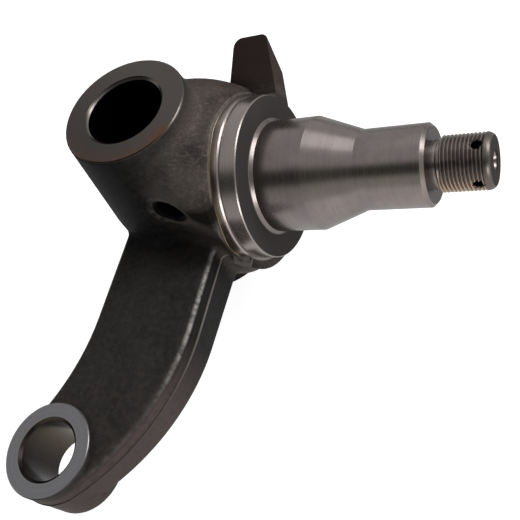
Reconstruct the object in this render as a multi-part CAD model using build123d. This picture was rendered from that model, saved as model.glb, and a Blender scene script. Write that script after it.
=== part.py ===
"""Steering knuckle: one steel forging with machined bores, flange and stub axle.

The king pin stands along +Z, the stub axle points to +X with a small lift, and the two axes cross at
the origin.  The steering arm reaches along -Y and bends back towards -X to its tie-rod eye, and the
stop lug stands off the flange on the +Y side.
"""
from build123d import *
import os
from math import atan2, cos, degrees, radians, sin, tan

# ---- King-pin boss: an upright barrel, drafted up and down from the parting line
boss_end_diameter = 75.0
boss_height = 146.0
boss_draft = 6.0
boss_chamfer = 1.2
boss_waist_radius = 120.0
king_pin_bore = 46.0
king_pin_bore_chamfer = 1.5

# ---- Lock-pin hole, square to the king pin and cutting into the side of its bore
lock_pin_bore = 17.0
lock_pin_offset = 22.5
lock_pin_height = 31.0
lock_pin_chamfer = 3.0
lock_pin_spot_depth = 1.0

# ---- Stub axle: places are measured along its own axis from the king-pin axis
spindle_lift = 6.0
flange_face = 71.4
inner_seat_diameter = 65.0
inner_seat_length = 30.1
taper_length = 26.2
outer_seat_diameter = 45.0
outer_seat_length = 38.0
outer_seat_chamfer = 2.0
root_bevel = 2.0

# ---- Thread end of the stub axle, turned to the root of its M30 x 2 screw form
thread_size = 30.0
thread_pitch = 2.0
thread_length = 27.1
thread_tip_chamfer = 2.0
relief_width = 3.8
relief_depth = 0.5
split_pin_hole = 5.0
split_pin_station = 7.1
centre_hole_mouth = 11.0
centre_hole_pilot = 4.0
centre_hole_pilot_depth = 5.0
centre_hole_angle = 60.0

# ---- Machined flange: a rear disc and a slightly smaller front disc
front_disc_diameter = 96.0
front_disc_width = 10.4
rear_disc_diameter = 99.0
rear_disc_width = 9.0
disc_chamfer = 0.8

# ---- Forged hub between the boss and the flange, in three sections along the stub axle
hub_root_overhang = 0.5
hub_root_inset = 8.0
hub_root_flat = 4.0
hub_shoulder = 36.0
hub_shoulder_overhang = 5.5
hub_shoulder_inset = 15.0
hub_shoulder_corner = 22.0
hub_front_overlap = 4.5
hub_front_overhang = 1.5
hub_front_flat = 4.0
hub_front_edge = 3.0

# ---- Stop pad: a low sector of the flange on the side away from the lug
pad_radius = 55.0
pad_width = 64.0
pad_thickness = 11.0
pad_draft = 8.0

# ---- Steering arm and tie-rod eye
arm_top = 3.0
arm_parting = -7.0
arm_root_bottom = -39.4
arm_tip_bottom = -28.0
arm_inner_side = -24.7
arm_inner_bend = -98.0
arm_outer_side = 41.5
arm_outer_bend = -97.0
arm_draft = 4.0
arm_edge = 5.0
eye_x = -21.0
eye_y = -178.0
eye_diameter = 52.6
eye_bore = 33.0
eye_top = 7.0
eye_bottom = -31.0
eye_chamfer = 1.5

# ---- Stop lug: a slab standing off the flange, its tip bevelled from below
lug_angle = 50.8
lug_offset = 17.7
lug_thickness = 14.4
lug_reach = 80.5
lug_bevel_start = 56.4
lug_bevel_edge = 1.5
lug_back = 41.7
lug_back_slope = 19.4
lug_back_corner = 8.0
lug_front_corner = 3.0
lug_edge = 2.0

# ---- Forging flash left along the arm's parting line
flash_stand = 0.5
flash_width = 1.4

# ---- Blends where the forged forms run into each other
blend_hub = 8.0
blend_arm = 5.0

# Sizes that follow from the ones above
half_height = boss_height / 2
boss_end_radius = boss_end_diameter / 2
boss_middle_radius = boss_end_radius + half_height * tan(radians(boss_draft))
taper_start = flange_face + inner_seat_length
outer_seat_start = taper_start + taper_length
outer_seat_end = outer_seat_start + outer_seat_length
thread_start = outer_seat_end + relief_width
tip = thread_start + thread_length
thread_root_radius = (thread_size - 1.2269 * thread_pitch) / 2
disc_step = flange_face - front_disc_width
rear_disc_back = disc_step - rear_disc_width
hub_front = rear_disc_back + hub_front_overlap
hub_root_width = boss_end_diameter + 2 * hub_root_overhang
hub_root_height = boss_height - 2 * hub_root_inset
hub_shoulder_width = boss_end_diameter + 2 * hub_shoulder_overhang
hub_shoulder_height = boss_height - 2 * hub_shoulder_inset
hub_front_size = rear_disc_diameter + 2 * hub_front_overhang
hub_root_corner = hub_root_width / 2 - hub_root_flat
hub_front_corner = hub_front_size / 2 - hub_front_flat


def on_spindle(station):
    """The plane square to the stub axle at a distance along it, with its x direction along +Y."""
    lift = radians(spindle_lift)
    along = Vector(cos(lift), 0, sin(lift))
    return Plane(origin=along * station, x_dir=(0, 1, 0), z_dir=along)


def turned(outline):
    """Revolve an outline, drawn with stations along X and radii along Y, about the stub axle."""
    return Rot(0, -spindle_lift, 0) * revolve(outline, Axis.X)


def boss():
    """The king-pin barrel: drafted up and down, rolled round at the parting line, bevelled ends."""
    corners = [
        (0, half_height),
        (boss_end_radius - boss_chamfer, half_height),
        (boss_end_radius, half_height - boss_chamfer),
        (boss_middle_radius, 0),
        (boss_end_radius, boss_chamfer - half_height),
        (boss_end_radius - boss_chamfer, -half_height),
        (0, -half_height),
    ]
    profile = make_face(Plane.XZ * Polyline(*corners, close=True))
    waist = profile.vertices().sort_by(Axis.X)[-1]
    return revolve(fillet(waist, boss_waist_radius), Axis.Z)


def hub():
    """The forged neck, lofted from a tall section at the boss to a rounder one behind the flange."""
    root = RectangleRounded(hub_root_width, hub_root_height, hub_root_corner)
    shoulder = RectangleRounded(hub_shoulder_width, hub_shoulder_height, hub_shoulder_corner)
    front = RectangleRounded(hub_front_size, hub_front_size, hub_front_corner)
    neck = loft([on_spindle(0) * root, on_spindle(hub_shoulder) * shoulder, on_spindle(hub_front) * front])
    rim = neck.faces().sort_by(lambda face: (face.center() - on_spindle(0).origin).length)[-1]
    return chamfer(rim.edges(), hub_front_edge)


def flange_and_spindle():
    """Everything turned about the stub axle, from the rear disc to the centre hole in its tip."""
    front_radius = front_disc_diameter / 2
    rear_radius = rear_disc_diameter / 2
    inner_radius = inner_seat_diameter / 2
    outer_radius = outer_seat_diameter / 2
    relief_radius = thread_root_radius - relief_depth
    mouth_radius = centre_hole_mouth / 2
    pilot_radius = centre_hole_pilot / 2
    cone_depth = (mouth_radius - pilot_radius) / tan(radians(centre_hole_angle / 2))
    points = [
        (boss_end_radius, 0),
        (boss_end_radius, inner_radius),
        (rear_disc_back, rear_radius),
        (disc_step - disc_chamfer, rear_radius),
        (disc_step, rear_radius - disc_chamfer),
        (disc_step, front_radius),
        (flange_face - disc_chamfer, front_radius),
        (flange_face, front_radius - disc_chamfer),
        (flange_face, inner_radius),
        (taper_start, inner_radius),
        (outer_seat_start, outer_radius),
        (outer_seat_end - outer_seat_chamfer, outer_radius),
        (outer_seat_end, outer_radius - outer_seat_chamfer),
        (outer_seat_end, relief_radius),
        (thread_start - relief_depth, relief_radius),
        (thread_start, thread_root_radius),
        (tip - thread_tip_chamfer + thread_size / 2 - thread_root_radius, thread_root_radius),
        (tip, thread_size / 2 - thread_tip_chamfer),
        (tip, mouth_radius),
        (tip - cone_depth, pilot_radius),
        (tip - cone_depth - centre_hole_pilot_depth, pilot_radius),
        (tip - cone_depth - centre_hole_pilot_depth, 0),
    ]
    outline = make_face(Polyline(*points, close=True))
    root = outline.vertices().sort_by_distance((flange_face, inner_radius))[0]
    return turned(chamfer(root, root_bevel))


def stop_pad():
    """A sector of the flange, behind its front disc, that meets the axle beam at full lock."""
    pad_back = disc_step - pad_thickness
    back_radius = pad_radius - pad_thickness * tan(radians(pad_draft))
    points = [(pad_back, 0), (disc_step, 0), (disc_step, pad_radius), (pad_back, back_radius)]
    wheel = turned(make_face(Polyline(*points, close=True)))
    slot = Box(pad_radius, pad_width, 2 * tip, align=(Align.MAX, Align.CENTER, Align.CENTER))
    return wheel & (on_spindle(0) * Rot(0, 0, lug_angle) * slot)


def arm_outline(inset, height):
    """The arm cut level at a height and drawn in from its parting line by an even inset.

    The sides run straight from the root, then follow two arcs that touch the circle round the eye.
    """
    eye_radius = eye_diameter / 2 - inset
    inner_side = arm_inner_side + inset
    outer_side = arm_outer_side - inset
    inner_run = eye_y - arm_inner_bend
    inner_gap = eye_x - inner_side
    inner_radius = (inner_gap**2 + inner_run**2 - eye_radius**2) / (2 * (eye_radius - inner_gap))
    outer_run = eye_y - arm_outer_bend
    outer_gap = eye_x - outer_side
    outer_radius = (eye_radius**2 - outer_gap**2 - outer_run**2) / (2 * (outer_gap + eye_radius))
    centre = Vector(eye_x, eye_y)
    inner_centre = Vector(inner_side - inner_radius, arm_inner_bend)
    outer_centre = Vector(outer_side - outer_radius, arm_outer_bend)
    inner_touch = centre + (inner_centre - centre).normalized() * eye_radius
    outer_touch = centre + (centre - outer_centre).normalized() * eye_radius
    far_side = centre + Vector(-1, -1).normalized() * eye_radius
    inner_bend = Vector(inner_side, arm_inner_bend)
    outer_bend = Vector(outer_side, arm_outer_bend)
    edges = [
        Line((inner_side, 0), inner_bend),
        TangentArc(inner_bend, inner_touch, tangent=(0, -1)),
        ThreePointArc(inner_touch, far_side, outer_touch),
        TangentArc(outer_bend, outer_touch, tangent=(0, -1)),
        Line(outer_bend, (outer_side, 0)),
        Line((outer_side, 0), (inner_side, 0)),
    ]
    return Pos(0, 0, height) * make_face(edges)


def arm():
    """The forged arm, drafted up and down from its parting line, thinner towards the eye."""
    draft = tan(radians(arm_draft))
    top = arm_outline((arm_top - arm_parting) * draft, arm_top)
    parting = arm_outline(0, arm_parting)
    bottom = arm_outline((arm_parting - arm_root_bottom) * draft, arm_root_bottom)
    blank = loft([top, parting], ruled=True) + loft([parting, bottom], ruled=True)
    slope = degrees(atan2(arm_tip_bottom - arm_root_bottom, -eye_y))
    below = Box(4 * boss_height, 4 * boss_height, boss_height, align=(Align.CENTER, Align.CENTER, Align.MAX))
    blank -= Pos(0, 0, arm_root_bottom) * Rot(-slope, 0, 0) * below
    flats = blank.faces().sort_by(Axis.Z)
    rims = flats[-1].edges() + flats[0].edges()
    sides = [edge for edge in rims if edge.center().Y < -arm_edge]
    return fillet(sides, arm_edge)


def eye():
    """The tie-rod eye, standing a little proud of the arm above and below."""
    ring = Pos(eye_x, eye_y, (eye_top + eye_bottom) / 2) * Cylinder(eye_diameter / 2, eye_top - eye_bottom)
    return chamfer(ring.edges().filter_by(GeomType.CIRCLE), eye_chamfer / 2)


def stop_lug():
    """A slab offset from a ray of the stub axle: its plan crossed with its bevelled section."""
    frame = on_spindle(0)
    ray = radians(lug_angle)
    out = frame.x_dir * cos(ray) + frame.y_dir * sin(ray)
    side = frame.x_dir * sin(ray) - frame.y_dir * cos(ray)
    root = rear_disc_diameter / 4
    section_plane = Plane(origin=frame.z_dir * flange_face, x_dir=out, z_dir=frame.z_dir)
    # the section's y direction runs against the side direction
    section_points = [
        (root, -lug_offset),
        (lug_reach, -lug_offset),
        (lug_reach, -lug_offset - lug_bevel_edge),
        (lug_bevel_start, -lug_offset - lug_thickness),
        (root, -lug_offset - lug_thickness),
    ]
    section = make_face(Polyline(*section_points, close=True))
    bar = extrude(section_plane * section, boss_end_radius / 2 - flange_face)
    slope = tan(radians(lug_back_slope))
    back_root = lug_back - (lug_bevel_start - root) * slope
    back_tip = lug_back + (lug_reach - lug_bevel_start) * slope
    plan_points = [
        (back_root, root),
        (back_tip, lug_reach),
        (flange_face, lug_reach),
        (flange_face, root),
    ]
    plan = make_face(Polyline(*plan_points, close=True))
    back_corner = plan.vertices().group_by(Axis.Y)[-1].sort_by(Axis.X)[0]
    plan = fillet(back_corner, lug_back_corner)
    front_corner = plan.vertices().group_by(Axis.Y)[-1].sort_by(Axis.X)[-1]
    plan = fillet(front_corner, lug_front_corner)
    plan_plane = Plane(origin=side * lug_offset, x_dir=frame.z_dir, z_dir=side * -1)
    slab = extrude(plan_plane * plan, -lug_thickness)
    lug = bar & slab
    outer = [
        edge
        for edge in lug.edges()
        if edge.length > lug_thickness
        and edge.center().dot(side) > lug_offset + lug_bevel_edge
        and abs((edge % 0.5).dot(frame.z_dir)) < cos(radians(45))
    ]
    return fillet(outer, lug_edge)


def blended(base, added, radius):
    """Join two forms and roll a fillet along the line where they meet."""
    joined = base + added
    return fillet(new_edges(base, added, combined=joined), radius)


def flash():
    """The thin flash land that trimming leaves round the arm at its parting line."""
    land = extrude(arm_outline(-flash_stand, arm_parting - flash_width / 2), flash_width)
    root = Box(4 * boss_height, 2 * (boss_middle_radius + blend_arm), boss_height)
    return land - root


def upright_bore(x, y, bottom, top, diameter, bevel):
    """The tool shape for a bore along +Z with a bevel at each mouth."""
    radius = diameter / 2
    points = [
        (0, bottom),
        (radius + bevel, bottom),
        (radius, bottom + bevel),
        (radius, top - bevel),
        (radius + bevel, top),
        (0, top),
    ]
    return Pos(x, y, 0) * revolve(make_face(Plane.XZ * Polyline(*points, close=True)), Axis.Z)


def lock_pin_tools():
    """The lock pin's drill with the spot face and countersink at both of its mouths."""
    seat = hub_shoulder_width / 2 - lock_pin_spot_depth
    radius = lock_pin_bore / 2
    rim = radius + lock_pin_chamfer
    points = [
        (0, 0),
        (radius, 0),
        (radius, seat - lock_pin_chamfer),
        (rim, seat),
        (rim, boss_height),
        (0, boss_height),
    ]
    half = revolve(make_face(Plane.XZ * Polyline(*points, close=True)), Axis.Z)
    both = Rot(90, 0, 0) * half + Rot(-90, 0, 0) * half
    return Pos(lock_pin_offset, 0, lock_pin_height) * both


def knuckle():
    """The forging joined up and blended, then turned and bored."""
    body = blended(boss(), hub(), blend_hub)
    body = blended(body, arm(), blend_arm)
    body += eye() + flash()
    body += flange_and_spindle() + stop_pad()
    body += stop_lug()
    body -= upright_bore(0, 0, -half_height, half_height, king_pin_bore, king_pin_bore_chamfer)
    body -= upright_bore(eye_x, eye_y, eye_bottom, eye_top, eye_bore, eye_chamfer)
    body -= lock_pin_tools()
    split_pin = Cylinder(split_pin_hole / 2, 2 * thread_size)
    crossing = on_spindle(tip - split_pin_station)
    body -= crossing * Rot(90, 0, 0) * split_pin
    body -= crossing * Rot(0, 90, 0) * split_pin
    return body


os.makedirs("parts", exist_ok=True)
export_step(knuckle(), "parts/steering_knuckle.step")
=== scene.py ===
import math
import bpy
import numpy as np
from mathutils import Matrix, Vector


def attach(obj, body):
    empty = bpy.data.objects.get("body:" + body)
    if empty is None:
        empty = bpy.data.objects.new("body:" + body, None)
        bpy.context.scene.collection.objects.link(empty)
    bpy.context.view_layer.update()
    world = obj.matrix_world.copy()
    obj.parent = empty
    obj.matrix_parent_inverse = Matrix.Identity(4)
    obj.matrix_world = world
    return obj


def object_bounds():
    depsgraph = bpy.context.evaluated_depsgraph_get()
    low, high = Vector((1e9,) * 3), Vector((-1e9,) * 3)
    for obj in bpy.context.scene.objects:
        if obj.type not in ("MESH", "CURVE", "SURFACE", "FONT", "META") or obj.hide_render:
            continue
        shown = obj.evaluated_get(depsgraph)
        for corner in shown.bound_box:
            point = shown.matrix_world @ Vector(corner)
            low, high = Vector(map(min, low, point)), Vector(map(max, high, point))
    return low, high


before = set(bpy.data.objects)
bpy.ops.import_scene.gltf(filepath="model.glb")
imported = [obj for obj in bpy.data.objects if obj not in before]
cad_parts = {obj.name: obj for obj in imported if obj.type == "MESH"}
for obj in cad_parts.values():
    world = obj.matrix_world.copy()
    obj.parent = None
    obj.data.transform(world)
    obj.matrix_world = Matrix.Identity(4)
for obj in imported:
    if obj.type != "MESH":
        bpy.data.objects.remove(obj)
cad_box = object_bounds()

MM = 0.001

# ---- How far the stub axle leans up from square to the king pin
STUB_LIFT = math.radians(6.0)

# ---- Where the finishes change, in millimetres: stations along the stub axle, radii, levels and places
TURNED_FROM = 52.3
TURNED_RADIUS = 49.8
FLANGE_FACE_FROM = 71.1
SEATS_FROM = 71.8
SEATS_RADIUS = 34.0
DISC_RIM_RADIUS = 46.8
SHOULDER_FROM = 165.5
SHOULDER_TO = 165.85
RELIEF_TO = 169.2
END_FACES_FROM = 195.9
BOSS_FACE = 72.3
BOSS_FACE_RADIUS = 40.0
KING_PIN_BORE = 24.6
EYE_CENTRE = (-21.0, -178.0)
EYE_RADIUS = 26.1
EYE_BORE = 18.1
EYE_TOP = 6.6
EYE_BOTTOM = -30.6
FLASH_LEVEL = -7.0
FLASH_HALF_WIDTH = 0.75
ARM_FROM = -50.0
CREASE_SHADE_LEVEL = 33.0
LIGHTER_PATCH = (26.0, -39.0, 47.0)
RUST_SPOT = (30.5, -19.5, 73.0)
SMUDGE = (42.0, -19.5, 58.5)
LOCK_PIN_PLACE = (22.5, 31.0)
LOCK_PIN_HOLE = 8.65
LOCK_PIN_MOUTH = 10.6

# ---- The thread on the stub axle's end, in millimetres
THREAD_START = 169.5
THREAD_END = 196.6
CREST_RADIUS = 15.0
ROOT_RADIUS = 13.7731
PITCH = 2.0
NOSE_START = 192.8
SPLIT_PIN_STATION = 189.5
SPLIT_PIN_MOUTH = 2.9
NOSE_RADIUS = 14.9
NOSE_SIDES = 128

# ---- The finish colours, as display values from 0 to 255
TONES = {
    # the forged skin
    "scale_dark": (38, 38, 37),
    "scale_light": (52, 51, 49),
    "hub_skin": (82, 75, 70),
    "lighter_patch": (96, 88, 82),
    "smudge": (34, 31, 31),
    "mottle": (76, 70, 65),
    "blotch": (26, 23, 22),
    "fleck": (116, 107, 101),
    "dark_grit": (12, 12, 13),
    "light_grit": (84, 81, 78),
    # painted shade on the arm's flanks and the barrel
    "arm_flank_shade": (17, 17, 18),
    "shaded_barrel": (15, 15, 16),
    # painted shade in the corner between the hub and the arm
    "corner_shade": (16, 15, 15),
    "stop_lug": (62, 52, 50),
    "flank_near_eye": (88, 77, 75),
    # painted highlights on the arm's rounded edges and its flash line
    "painted_edge_highlight": (172, 168, 164),
    "painted_flash_highlight": (128, 122, 116),
    # partly wear and partly painted highlight on the hub's front rim
    "rim_wear_and_highlight": (118, 111, 105),
    # painted shade in the crease beside the lock pin hole
    "crease_shade": (13, 12, 12),
    "hole_lip": (104, 97, 91),
    # turned and ground steel
    "turned_dark": (96, 91, 89),
    "turned_light": (112, 105, 102),
    "ground_dark": (116, 108, 107),
    "ground_light": (128, 119, 116),
    "oil_film": (108, 106, 88),
    "flange_face": (42, 40, 40),
    # painted reflection across the boss faces
    "boss_face_dim_reflection": (62, 58, 57),
    "boss_face_bright_reflection": (80, 75, 72),
    "eye_face": (116, 115, 117),
    # painted light and shade in the eye's bore
    "eye_bore_shaded": (26, 23, 22),
    "eye_bore_lit": (66, 59, 49),
    "end_face": (44, 40, 37),
    "seat_shoulder": (62, 57, 54),
    "relief_groove": (138, 129, 124),
    "disc_rim": (140, 132, 128),
    "seat_root": (112, 105, 102),
    "tool_ring": (70, 65, 63),
    "rust": (96, 62, 40),
    # painted shade with a brown tint in the groove
    "groove_shade_brown": (92, 74, 46),
    # holes, painted dark inside as painted shade
    "king_pin_bore_shade": (20, 19, 19),
    "lock_pin_hole_shade": (8, 8, 8),
    "split_pin_mouth_shade": (10, 9, 9),
    # the thread and the nose
    "thread_flank_dark": (116, 108, 106),
    "thread_flank_light": (134, 125, 119),
    # painted reflection with a brown tint
    "thread_brown_reflection": (206, 178, 146),
    "thread_root": (104, 95, 88),
    "nose": (88, 82, 78),
}

# ---- The camera: its focal length in widths of its view, where it stands in metres, its turn in degrees
FOCAL_LENGTH = 699.76 / 520
FILM_WIDTH = 36.0
CAMERA_PLACE = (0.234038, -0.223001, 0.321786)
CAMERA_TURN = (31.0279, 19.8206, 14.4092)

# ---- The studio: the floor in metres, the dark slot in the room by two directions, and brightnesses
FLOOR_GAP = 0.0002
FLOOR_HALF_SIDE = 6
PAPER_GLOW = 0.9
SLOT_ACROSS = (0.063, -0.798, -0.599)
SLOT_MIDDLE = 0.06
SLOT_FACING = (-0.083, -0.602, 0.794)
ROOM_LIGHT = 0.44
ROOM_LIGHT_IN_SLOT = 0.024
ROOM_IN_MIRROR = 0.8


# ======================================================================
# Finishes
# ======================================================================
class Nodes:
    """A node tree and short calls for the nodes that it is built from."""

    def __init__(self, tree):
        self.tree = tree

    def add(self, kind, sockets=(), **settings):
        node = self.tree.nodes.new(kind)
        for key, value in settings.items():
            setattr(node, key, value)
        for key, value in dict(sockets).items():
            self.feed(node.inputs[key], value)
        return node

    def feed(self, socket, value):
        if isinstance(value, bpy.types.NodeSocket):
            self.tree.links.new(value, socket)
        else:
            socket.default_value = value

    def maths(self, operation, first, second=0.0):
        return self.add("ShaderNodeMath", {0: first, 1: second}, operation=operation).outputs[0]

    def both(self, *masks):
        """A mask that is on where all the given masks are on."""
        result = masks[0]
        for mask in masks[1:]:
            result = self.maths("MULTIPLY", result, mask)
        return result

    def either(self, *masks):
        """A mask that is on where any of the given masks is on."""
        result = masks[0]
        for mask in masks[1:]:
            result = self.maths("MAXIMUM", result, mask)
        return result

    def above(self, value, limit, blur=0.15):
        """0 below the limit and 1 above it, with a narrow ramp."""
        return self.spread(value, limit - blur, limit + blur)

    def below(self, value, limit, blur=0.15):
        return self.maths("SUBTRACT", 1.0, self.above(value, limit, blur))

    def radius(self, first, second):
        """Distance from an axis: the root of the two squares added."""
        first_squared = self.maths("MULTIPLY", first, first)
        second_squared = self.maths("MULTIPLY", second, second)
        return self.maths("SQRT", self.maths("ADD", first_squared, second_squared))

    def noise(self, vector, scale, detail=4.0, roughness=0.55, distortion=0.0):
        node = self.add("ShaderNodeTexNoise", {"Vector": vector, "Scale": scale, "Detail": detail,
                                               "Roughness": roughness, "Distortion": distortion})
        return node.outputs["Fac"]

    def spread(self, value, low, high, to_low=0.0, to_high=1.0):
        """A number that goes from to_low to to_high as the value goes from low to high."""
        node = self.add("ShaderNodeMapRange", {"Value": value, "From Min": low, "From Max": high,
                                               "To Min": to_low, "To Max": to_high})
        return node.outputs["Result"]

    def blend(self, factor, first, second):
        """A colour that goes from first to second with the factor."""
        return self.add("ShaderNodeMix", {0: factor, 6: first, 7: second}, data_type="RGBA").outputs[2]

    def choose(self, factor, first, second):
        """A number that goes from first to second with the factor, where either may come from a node."""
        return self.add("ShaderNodeMix", {0: factor, 2: first, 3: second}, data_type="FLOAT").outputs[0]

    def coat(self, under, name, *masks):
        """The named tone laid over a colour where all the masks are on."""
        return self.blend(self.both(*masks), under, tone(name))

    def shift(self, factor, first, second):
        """A number that goes from first to second with the factor."""
        return self.spread(factor, 0.0, 1.0, first, second)

    def vector(self, x, y, z):
        return self.add("ShaderNodeCombineXYZ", {0: x, 1: y, 2: z}).outputs[0]

    def parts(self, vector):
        return self.add("ShaderNodeSeparateXYZ", {0: vector}).outputs

    def vector_maths(self, operation, first, second):
        """A number worked out from two vectors."""
        node = self.add("ShaderNodeVectorMath", {0: first, 1: second}, operation=operation)
        return node.outputs["Value"]


class Finish(Nodes):
    """A material and its nodes."""

    def __init__(self, name):
        self.material = bpy.data.materials.new(name)
        self.material.use_nodes = True
        super().__init__(self.material.node_tree)
        self.shader = self.tree.nodes["Principled BSDF"]

    def set(self, **values):
        """Feeds the shader: Base_Color stands for its input "Base Color"."""
        for key, value in values.items():
            self.feed(self.shader.inputs[key.replace("_", " ")], value)

    def places(self):
        """The shaded point in millimetres, along the knuckle's own axes and then along the stub axle's."""
        here = self.add("ShaderNodeTexCoord").outputs["Object"]
        place = self.add("ShaderNodeVectorMath", {0: here, "Scale": 1 / MM}, operation="SCALE").outputs[0]
        along_stub = self.add("ShaderNodeMapping", {"Vector": place, "Rotation": (0.0, STUB_LIFT, 0.0)})
        return place, along_stub.outputs[0]


def tone(name):
    """A finish colour as the linear colour that a shader takes."""
    values = [channel / 255 for channel in TONES[name]]
    linear = [v / 12.92 if v <= 0.04045 else ((v + 0.055) / 1.055) ** 2.4 for v in values]
    return (*linear, 1.0)


def knuckle_steel():
    """Forged skin all over, with turned and bored steel where the cutter has been."""
    steel = Finish("forged_and_turned_steel")
    place, along_stub = steel.places()
    x, y, z = steel.parts(place)
    station, side, height = steel.parts(along_stub)

    # distances from the three axes
    stub_radius = steel.radius(side, height)
    pin_radius = steel.radius(x, y)
    eye_radius = steel.radius(steel.maths("SUBTRACT", x, EYE_CENTRE[0]),
                              steel.maths("SUBTRACT", y, EYE_CENTRE[1]))
    depth = steel.maths("ABSOLUTE", z)

    # where the cutter has been
    stub = steel.both(steel.above(station, TURNED_FROM), steel.below(stub_radius, TURNED_RADIUS))
    seats = steel.both(steel.above(station, SEATS_FROM, 0.3), steel.below(stub_radius, SEATS_RADIUS))
    flange_face = steel.both(steel.above(station, FLANGE_FACE_FROM), steel.below(station, SEATS_FROM), stub)
    boss_faces = steel.both(steel.above(depth, BOSS_FACE), steel.below(pin_radius, BOSS_FACE_RADIUS))
    bore = steel.below(pin_radius, KING_PIN_BORE)
    eye_faces = steel.both(steel.either(steel.above(z, EYE_TOP), steel.below(z, EYE_BOTTOM)),
                           steel.below(eye_radius, EYE_RADIUS))
    eye_bore = steel.below(eye_radius, EYE_BORE)
    cut = steel.either(stub, boss_faces, bore, eye_faces, eye_bore)

    # forged skin: scale in soft patches and fine pitting
    patches = steel.noise(place, 0.035, 5.0, 0.6, 0.6)
    mottle = steel.noise(place, 0.25, 6.0, 0.65)
    grit = steel.noise(place, 1.6, 5.0, 0.7)
    skin = steel.blend(steel.spread(patches, 0.35, 0.68), tone("scale_dark"), tone("scale_light"))

    # the hub's skin is painted lighter and browner, with a lighter patch over the lock pin hole
    hub_zone = steel.both(steel.above(station, 28.0, 14.0), steel.below(stub_radius, 66.0, 4.0),
                          steel.above(y, ARM_FROM, 6.0))
    skin = steel.coat(skin, "hub_skin", hub_zone, 0.8)
    from_patch = steel.vector_maths("DISTANCE", place, LIGHTER_PATCH)
    lighter_patch = steel.both(steel.spread(from_patch, 7.0, 20.0, 1.0, 0.0),
                            steel.spread(mottle, 0.35, 0.6, 0.2, 1.0))
    skin = steel.coat(skin, "lighter_patch", lighter_patch, 0.4)
    from_smudge = steel.vector_maths("DISTANCE", place, SMUDGE)
    smudge = steel.both(steel.spread(from_smudge, 3.0, 13.0, 1.0, 0.0),
                        steel.spread(mottle, 0.3, 0.55, 0.3, 1.0))
    skin = steel.coat(skin, "smudge", smudge, 0.75)
    skin = steel.coat(skin, "mottle", steel.spread(mottle, 0.42, 0.72, 0.0, 0.45))
    blotches = steel.noise(place, 0.07, 5.0, 0.6, 0.2)
    skin = steel.coat(skin, "blotch", hub_zone, steel.spread(blotches, 0.5, 0.68, 0.0, 0.45))
    drawn = steel.add("ShaderNodeMapping", {"Vector": along_stub, "Scale": (0.45, 1.0, 1.0)}).outputs[0]
    flecks = steel.noise(drawn, 0.55, 4.0, 0.7)
    skin = steel.coat(skin, "fleck", hub_zone, steel.spread(flecks, 0.48, 0.75, 0.0, 0.5))
    skin = steel.coat(skin, "dark_grit", steel.spread(grit, 0.3, 0.55, 0.4, 0.0))
    skin = steel.coat(skin, "light_grit", steel.spread(grit, 0.54, 0.72, 0.0, 0.4))

    # painted shade: the barrel and the arm's flanks are painted darkest, as the shade on them
    shaded_barrel = steel.both(steel.above(pin_radius, 36.0), steel.below(station, 22.0, 8.0),
                        steel.above(y, ARM_FROM, 4.0))
    flank = steel.both(steel.below(y, ARM_FROM, 4.0), steel.below(z, 1.0, 2.5))
    skin = steel.coat(skin, "arm_flank_shade", flank, 0.68)
    skin = steel.coat(skin, "shaded_barrel", shaded_barrel, steel.spread(mottle, 0.35, 0.6, 0.9, 0.62))

    # painted shade in the corner between the hub and the arm
    corner = steel.both(steel.above(z, 0.0, 4.0), steel.spread(z, 8.0, 22.0, 1.0, 0.0),
                        steel.below(y, -34.0, 3.0), steel.above(y, -58.0, 8.0))
    skin = steel.coat(skin, "corner_shade", corner, 0.6)
    lug_zone = steel.both(steel.above(stub_radius, 55.0, 2.0), steel.above(station, 28.0, 2.0),
                          steel.above(side, 30.0, 5.0))
    skin = steel.coat(skin, "stop_lug", lug_zone, 0.85)

    # the arm's flank turns browner towards the eye
    towards_eye = steel.both(flank, steel.spread(y, -102.0, -145.0),
                             steel.spread(mottle, 0.3, 0.55, 0.55, 1.0))
    skin = steel.coat(skin, "flank_near_eye", towards_eye, 0.85)

    # painted highlights along the arm's rounded edges, most of all near the hub, and along the trimmed flash
    facing = steel.parts(steel.add("ShaderNodeTexCoord").outputs["Normal"])[2]
    near_hub = steel.spread(y, -145.0, -90.0, 0.08, 1.0)
    edge_highlight = steel.both(steel.spread(facing, 0.42, 0.62), steel.spread(facing, 0.72, 0.92, 1.0, 0.0),
                      steel.below(y, ARM_FROM, 4.0), near_hub, steel.spread(mottle, 0.38, 0.58, 0.25, 1.0))
    skin = steel.coat(skin, "painted_edge_highlight", edge_highlight, 0.85)
    flash_highlight = steel.both(steel.above(z, FLASH_LEVEL - FLASH_HALF_WIDTH, 0.1),
                         steel.below(z, FLASH_LEVEL + FLASH_HALF_WIDTH, 0.1),
                         steel.below(y, -46.0, 2.0), near_hub)
    skin = steel.coat(skin, "painted_flash_highlight", flash_highlight, 0.8)

    # the hub's front rim is painted lighter, partly wear and partly painted highlight; the lock pin's hole is
    # painted dark inside as painted shade, and its lip is bright
    rim_wear_and_highlight = steel.both(steel.above(station, 52.4, 0.5), steel.below(station, 57.5, 0.5),
                           steel.above(stub_radius, 50.0, 0.25), steel.below(stub_radius, 51.3, 0.2),
                           steel.spread(mottle, 0.35, 0.6, 0.3, 1.0))
    skin = steel.coat(skin, "rim_wear_and_highlight", rim_wear_and_highlight, 0.6)
    from_lock_pin = steel.radius(steel.maths("SUBTRACT", x, LOCK_PIN_PLACE[0]),
                                 steel.maths("SUBTRACT", z, LOCK_PIN_PLACE[1]))
    outside = steel.above(steel.maths("ABSOLUTE", y), 30.0, 2.0)
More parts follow.
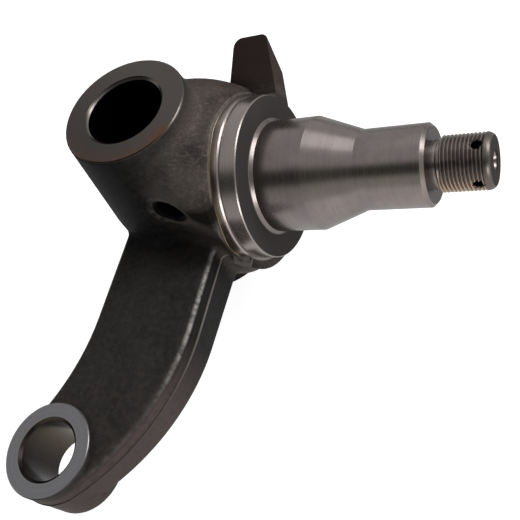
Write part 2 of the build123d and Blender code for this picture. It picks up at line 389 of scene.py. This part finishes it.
    # painted shade along the crease that runs from the lock pin hole towards the disc
    off_crease_shade = steel.maths("ABSOLUTE", steel.maths("SUBTRACT", z, CREASE_SHADE_LEVEL))
    crease_shade = steel.both(steel.spread(off_crease_shade, 3.0, 8.5, 1.0, 0.0),
                        steel.above(x, 35.0, 4.0), steel.below(y, -34.0, 3.0))
    skin = steel.coat(skin, "crease_shade", crease_shade, 0.9)
    lip = steel.both(steel.above(from_lock_pin, LOCK_PIN_MOUTH, 0.3),
                     steel.spread(from_lock_pin, 13.0, 15.0, 1.0, 0.0),
                     outside, steel.spread(mottle, 0.35, 0.6, 0.2, 1.0))
    skin = steel.coat(skin, "hole_lip", lip, 0.4)
    sunk = steel.either(steel.below(from_lock_pin, LOCK_PIN_HOLE),
                        steel.both(steel.below(from_lock_pin, LOCK_PIN_MOUTH), outside))

    # turned steel: rings round whichever axis the surface was turned on
    ring_place = steel.blend(steel.either(boss_faces, bore), steel.vector(station, stub_radius, 0.0),
                             steel.vector(z, pin_radius, 0.0))
    ring_place = steel.blend(steel.either(eye_faces, eye_bore), ring_place, steel.vector(z, eye_radius, 0.0))
    rings = steel.noise(ring_place, 0.9, 5.0, 0.7)
    fine_rings = steel.noise(ring_place, 5.0, 2.0, 0.6)
    stain = steel.noise(place, 0.06, 4.0, 0.6, 0.4)
    stained = steel.spread(stain, 0.35, 0.65)
    plain_turned = steel.blend(stained, tone("turned_dark"), tone("turned_light"))
    ground = steel.blend(stained, tone("ground_dark"), tone("ground_light"))
    turned = steel.blend(seats, plain_turned, ground)
    lean = steel.maths("DIVIDE", side, stub_radius)
    film = steel.both(stub, steel.spread(lean, -0.46, -0.6), steel.spread(lean, -0.92, -0.74),
                      steel.spread(stain, 0.35, 0.6, 0.4, 1.0))
    turned = steel.coat(turned, "oil_film", film, 0.55)
    turned = steel.coat(turned, "flange_face", flange_face)
    # painted reflection: the boss faces are painted brighter towards +x and +y
    across_boss = steel.spread(steel.maths("ADD", x, y), -40.0, 30.0)
    boss_tone = steel.blend(across_boss, tone("boss_face_dim_reflection"), tone("boss_face_bright_reflection"))
    turned = steel.blend(boss_faces, turned, boss_tone)
    turned = steel.coat(turned, "eye_face", eye_faces)
    # painted light and shade: the eye's bore is painted lighter towards +y and darker towards -y
    eye_bore_lit_side = steel.spread(steel.maths("SUBTRACT", y, EYE_CENTRE[1]), -4.0, 12.0)
    eye_bore_tone = steel.blend(eye_bore_lit_side, tone("eye_bore_shaded"), tone("eye_bore_lit"))
    turned = steel.blend(eye_bore, turned, eye_bore_tone)
    end_faces = steel.above(station, END_FACES_FROM, 0.2)
    turned = steel.coat(turned, "end_face", end_faces)
    seat_shoulder = steel.both(steel.above(station, SHOULDER_FROM, 0.05),
                               steel.below(station, SHOULDER_TO, 0.05),
                               steel.above(stub_radius, 13.5, 0.1), steel.below(stub_radius, 20.8, 0.2))
    turned = steel.coat(turned, "seat_shoulder", seat_shoulder)
    relief_groove = steel.both(steel.above(station, SHOULDER_TO, 0.05), steel.below(station, RELIEF_TO))
    turned = steel.coat(turned, "relief_groove", relief_groove)
    disc_rims = steel.both(stub, steel.above(stub_radius, DISC_RIM_RADIUS), steel.below(station, 71.2))
    turned = steel.coat(turned, "disc_rim", disc_rims)
    root_ring = steel.both(steel.above(station, 71.5), steel.below(station, 73.3), stub)
    turned = steel.coat(turned, "seat_root", root_ring)
    ring_strength = steel.shift(boss_faces, 0.16, 0.07)
    turned = steel.coat(turned, "tool_ring", steel.spread(rings, 0.35, 0.7), ring_strength)

    # rust creeping in from the boss face's rim, strongest in one spot
    from_rust = steel.vector_maths("DISTANCE", place, RUST_SPOT)
    rim = steel.both(boss_faces, steel.spread(pin_radius, 26.0, 37.0), steel.spread(y, -8.0, -30.0))
    rust_spot = steel.both(boss_faces, steel.spread(from_rust, 2.0, 11.0, 1.0, 0.0),
                           steel.above(pin_radius, 29.0, 4.0))
    rusty = steel.either(steel.both(rim, 0.45), rust_spot)
    turned = steel.coat(turned, "rust", rusty, steel.spread(mottle, 0.3, 0.6, 0.35, 0.9))

    # painted shade with a brown tint in the groove round the rear disc, on its -y side
    groove = steel.both(steel.above(station, 52.5, 0.8), steel.below(station, 58.8, 0.4),
                        steel.below(side, 0.0, 20.0), stub)
    turned = steel.coat(turned, "groove_shade_brown", groove, steel.spread(stain, 0.3, 0.6, 0.3, 0.8))

    base = steel.blend(cut, skin, turned)
    # painted shade: the king pin bore, the lock pin hole and the split pin holes' mouths are painted dark
    base = steel.coat(base, "king_pin_bore_shade", bore, steel.below(depth, 71.2))
    base = steel.coat(base, "lock_pin_hole_shade", sunk)
    along_pin = steel.maths("SUBTRACT", station, SPLIT_PIN_STATION)
    nearest_pin = steel.maths("MINIMUM", steel.radius(along_pin, side), steel.radius(along_pin, height))
    pin_mouths = steel.both(steel.below(nearest_pin, SPLIT_PIN_MOUTH),
                            steel.below(stub_radius, CREST_RADIUS + 0.3))
    base = steel.coat(base, "split_pin_mouth_shade", pin_mouths)
    dull_faces = steel.either(flange_face, end_faces)
    metal = steel.maths("MULTIPLY", cut, steel.shift(dull_faces, 0.92, 0.3))
    rough_skin = steel.spread(mottle, 0.3, 0.7, 0.5, 0.68)
    rough_cut = steel.spread(fine_rings, 0.3, 0.7, 0.2, 0.34)
    rough_cut = steel.maths("MAXIMUM", rough_cut, steel.maths("MULTIPLY", dull_faces, 0.6))

    # bump: pitted skin on the forging, fine tool rings on the cut faces
    pits = steel.maths("ADD", steel.maths("MULTIPLY", mottle, 0.5), steel.maths("MULTIPLY", grit, 0.16))
    ring_height = steel.both(fine_rings, steel.shift(boss_faces, 0.02, 0.008))
    bump = steel.add("ShaderNodeBump", {"Height": steel.choose(cut, pits, ring_height),
                                        "Strength": 0.5, "Distance": 0.5 * MM})
    steel.set(Base_Color=base, Metallic=steel.maths("MAXIMUM", metal, steel.shift(shaded_barrel, 0.2, 0.04)),
              Roughness=steel.choose(cut, rough_skin, rough_cut), Specular_IOR_Level=0.03,
              Normal=bump.outputs[0])
    return steel.material


def thread_steel():
    """Cut thread: bright flanks, painted brighter and browner on their lower -y side as a painted reflection
    with a brown tint, over darker, browner roots.
    """
    steel = Finish("cut_thread_steel")
    place, along_stub = steel.places()
    station, side, height = steel.parts(along_stub)
    depth = steel.radius(side, height)
    stain = steel.noise(place, 0.2, 4.0, 0.6)
    crest = steel.spread(depth, ROOT_RADIUS, CREST_RADIUS)
    stained = steel.spread(stain, 0.35, 0.65)
    bright = steel.blend(stained, tone("thread_flank_dark"), tone("thread_flank_light"))
    # painted reflection with a brown tint on the thread's lower -y side
    reflection_side = steel.both(steel.spread(side, 2.0, -9.0), steel.spread(height, 8.0, -2.0))
    bright = steel.coat(bright, "thread_brown_reflection", reflection_side, 0.7)
    base = steel.blend(crest, tone("thread_root"), bright)
    base = steel.coat(base, "nose", steel.above(station, NOSE_START - 0.1, 0.1))
    steel.set(Base_Color=base, Metallic=0.92, Roughness=steel.spread(stain, 0.3, 0.7, 0.3, 0.42))
    return steel.material


# ======================================================================
# The thread
# ======================================================================
def placed(name, data):
    """A new object that stands in the scene."""
    thing = bpy.data.objects.new(name, data)
    bpy.context.scene.collection.objects.link(thing)
    return thing


def stub_point(station, angle, radius):
    """Points at a station along the stub axle, an angle round it from its upper side, and a radius."""
    side = -radius * np.sin(angle)
    rise = radius * np.cos(angle)
    cosine, sine = math.cos(STUB_LIFT), math.sin(STUB_LIFT)
    x = station * cosine - rise * sine
    z = station * sine + rise * cosine
    return np.stack([x, side, z], axis=-1) * MM


def thread_turns():
    """Each stretch of thread between two mouths of the split pin holes.

    A stretch is a grid of points. One parameter runs across the ridge's profile, and the other along the
    helix, whose station grows by one pitch a turn. Across the profile, each line of the stretch starts and
    ends where that line meets the round mouth: its half width is the arc sine of the chord over the radius.
    The crest is that of the screw form, it runs out over a third of a turn at the start, and it ends inside
    the nose.
    """
    offsets = np.array([-0.97, -0.94, -0.125, 0.125, 0.94, 0.97])
    radii = np.array([ROOT_RADIUS - 0.25, ROOT_RADIUS - 0.02, CREST_RADIUS, CREST_RADIUS,
                      ROOT_RADIUS - 0.02, ROOT_RADIUS - 0.25])
    first = THREAD_START + 0.2
    turns = (NOSE_START + 0.6 - first) / PITCH
    last_angle = 2 * math.pi * turns

    # the angles at which the helix passes a mouth of a hole, one every quarter turn
    quarter = math.pi / 2
    passes = np.arange(1, math.floor(last_angle / quarter) + 1) * quarter
    off_hole = first + PITCH * passes[:, None] / (2 * math.pi) + offsets - SPLIT_PIN_STATION
    chord = SPLIT_PIN_MOUTH ** 2 - off_hole ** 2
    half_width = np.arcsin(np.sqrt(np.clip(chord, 0.0, None)) / ROOT_RADIUS)
    met = half_width.max(axis=1) > 0
    passes, half_width = passes[met], half_width[met]

    none = np.zeros((1, len(offsets)))
    starts = np.concatenate([none, passes[:, None] + half_width])
    ends = np.concatenate([passes[:, None] - half_width, none + last_angle])
    stretches = []
    for start, end in zip(starts, ends):
        steps = max(3, int((end - start).max() / math.radians(4)))
        share = np.linspace(0.0, 1.0, steps)[:, None]
        angle = start + share * (end - start)
        station = first + PITCH * angle / (2 * math.pi) + offsets
        run_out = np.clip(angle / (2 * math.pi / 3), 0.0, 1.0)
        ridge = ROOT_RADIUS - 0.1 + (CREST_RADIUS - ROOT_RADIUS + 0.1) * run_out
        radius = np.minimum(radii, ridge)
        stretches.append(stub_point(station, angle, radius))
    return stretches


def nose_ring():
    """The plain rounded nose past the last turn, as a grid of points.

    One parameter goes round the stub axle. The other goes along a profile that leaves the root of the thread,
    rises to the crest, falls away in an even curve to the end face and comes back inside the steel.
    """
    profile = np.array([(NOSE_START - 0.1, ROOT_RADIUS - 0.3), (NOSE_START - 0.05, 14.55), (193.0, 14.88),
                        (193.5, NOSE_RADIUS), (194.2, 14.78), (194.9, 14.5), (195.5, 14.15), (196.0, 13.75),
                        (196.35, 13.38), (THREAD_END - 0.03, 13.0), (THREAD_END - 0.3, 12.6), (194.5, 12.6)])
    angle = np.linspace(0.0, 2 * math.pi, NOSE_SIDES, endpoint=False)[:, None]
    return stub_point(profile[:, 0] + 0 * angle, angle, profile[:, 1] + 0 * angle)


def closed_mesh(name, grid):
    """A grid joined to itself both ways, shaded smooth."""
    rows, columns = grid.shape[:2]
    row, column = np.meshgrid(np.arange(rows), np.arange(columns), indexing="ij")
    next_row, next_column = (row + 1) % rows, (column + 1) % columns
    quads = np.stack([row * columns + column, next_row * columns + column,
                      next_row * columns + next_column, row * columns + next_column], axis=-1).reshape(-1, 4)
    mesh = bpy.data.meshes.new(name)
    mesh.from_pydata(grid.reshape(-1, 3).tolist(), [], quads.tolist())
    mesh.shade_smooth()
    return placed(name, mesh)


def ridge_mesh(name, stretches):
    """One mesh from closed strips: each grid's rows are joined round the profile and capped at both ends."""
    points, faces, base = [], [], 0
    for grid in stretches:
        rows, columns = grid.shape[:2]
        row, column = np.meshgrid(np.arange(rows - 1), np.arange(columns), indexing="ij")
        following = (column + 1) % columns
        quads = np.stack([row * columns + column, (row + 1) * columns + column,
                          (row + 1) * columns + following, row * columns + following], axis=-1).reshape(-1, 4)
        faces += (quads + base).tolist()
        faces.append((np.arange(columns) + base).tolist())
        faces.append((np.arange(columns)[::-1] + (rows - 1) * columns + base).tolist())
        points.append(grid.reshape(-1, 3))
        base += rows * columns
    mesh = bpy.data.meshes.new(name)
    mesh.from_pydata(np.concatenate(points).tolist(), [], faces)
    mesh.update()
    return placed(name, mesh)


# ======================================================================
# Dressing the knuckle
# ======================================================================
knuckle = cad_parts["steering_knuckle"]
knuckle.data.materials.clear()
knuckle.data.materials.append(knuckle_steel())

screw_steel = thread_steel()
for piece in (ridge_mesh("spindle_nut_thread", thread_turns()), closed_mesh("spindle_nose", nose_ring())):
    piece.data.materials.append(screw_steel)
    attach(piece, "root")


# ======================================================================
# Studio
# ======================================================================
def softbox(name, toward, distance, size, power):
    """A square lamp in the given direction from the knuckle, turned to face it."""
    data = bpy.data.lights.new(name, "AREA")
    data.shape = "SQUARE"
    data.size = size
    data.energy = power
    lamp = placed(name, data)
    direction = Vector(toward).normalized()
    lamp.location = Vector((0.05, -0.05, 0.0)) + direction * distance
    lamp.rotation_mode = "QUATERNION"
    lamp.rotation_quaternion = direction.to_track_quat("Z", "Y")


softbox("right_softbox", (0.68, 0.45, 0.58), 1.1, 0.5, 6.0)
softbox("front_softbox", (0.82, -0.62, 0.18), 1.2, 0.35, 4.0)
softbox("overhead_softbox", (0.1, 0.6, 0.8), 1.3, 0.8, 3.0)

# a white floor that glows for the camera, and whose front part shows brightest in the steel
floor_mesh = bpy.data.meshes.new("floor")
corners = ((-1, -1), (1, -1), (1, 1), (-1, 1))
floor_level = cad_box[0][2] - FLOOR_GAP
floor_mesh.from_pydata([(FLOOR_HALF_SIDE * x, FLOOR_HALF_SIDE * y, floor_level) for x, y in corners],
                       [], [(0, 1, 2, 3)])
floor = placed("floor", floor_mesh)
paper = Finish("white_paper")
paper.set(Base_Color=(0.5, 0.5, 0.5, 1.0), Roughness=0.9, Specular_IOR_Level=0.0)
path = paper.add("ShaderNodeLightPath").outputs
seen = paper.either(path["Is Camera Ray"], path["Is Transmission Ray"])
floor_y = paper.parts(paper.add("ShaderNodeTexCoord").outputs["Object"])[1]
mirrored_floor = paper.maths("MULTIPLY", path["Is Glossy Ray"], paper.spread(floor_y, -0.07, 0.03, 0.95, 0.1))
strength = paper.either(paper.maths("MULTIPLY", seen, PAPER_GLOW), mirrored_floor)
glow = paper.add("ShaderNodeEmission", {"Color": (1.0, 1.0, 1.0, 1.0), "Strength": strength})
lit = paper.add("ShaderNodeAddShader", {0: paper.shader.outputs[0], 1: glow.outputs[0]})
paper.feed(paper.tree.nodes["Material Output"].inputs["Surface"], lit.outputs[0])
floor_mesh.materials.append(paper.material)

# a white room with a dark slot, whose mirror image is the dark band along the stub axle
world = bpy.data.worlds.new("studio")
bpy.context.scene.world = world
world.use_nodes = True
room = Nodes(world.node_tree)
room.tree.nodes.clear()
toward = room.add("ShaderNodeTexCoord").outputs["Generated"]
across = room.vector_maths("DOT_PRODUCT", toward, SLOT_ACROSS)
facing_slot = room.vector_maths("DOT_PRODUCT", toward, SLOT_FACING)
off_middle = room.maths("ABSOLUTE", room.maths("SUBTRACT", across, SLOT_MIDDLE))
slot = room.both(room.spread(off_middle, 0.17, 0.36, 1.0, 0.0), room.spread(facing_slot, 0.3, 0.6))
fade = room.shift(slot, ROOM_LIGHT, ROOM_LIGHT_IN_SLOT)
path = room.add("ShaderNodeLightPath").outputs
mirrored = room.choose(path["Is Glossy Ray"], fade, room.maths("MULTIPLY", fade, ROOM_IN_MIRROR / ROOM_LIGHT))
clear = room.either(path["Is Camera Ray"], path["Is Transmission Ray"])
strength = room.choose(clear, mirrored, 1.0)
walls = room.add("ShaderNodeBackground", {"Color": (1.0, 1.0, 1.0, 1.0), "Strength": strength})
room.add("ShaderNodeOutputWorld", {"Surface": walls.outputs[0]})

camera_data = bpy.data.cameras.new("camera")
camera_data.sensor_width = FILM_WIDTH
camera_data.lens = FILM_WIDTH * FOCAL_LENGTH
camera_data.clip_start = 0.01
camera = placed("camera", camera_data)
camera.location = CAMERA_PLACE
camera.rotation_euler = [math.radians(angle) for angle in CAMERA_TURN]
bpy.context.scene.camera = camera
bpy.context.scene.view_settings.view_transform = "Standard"
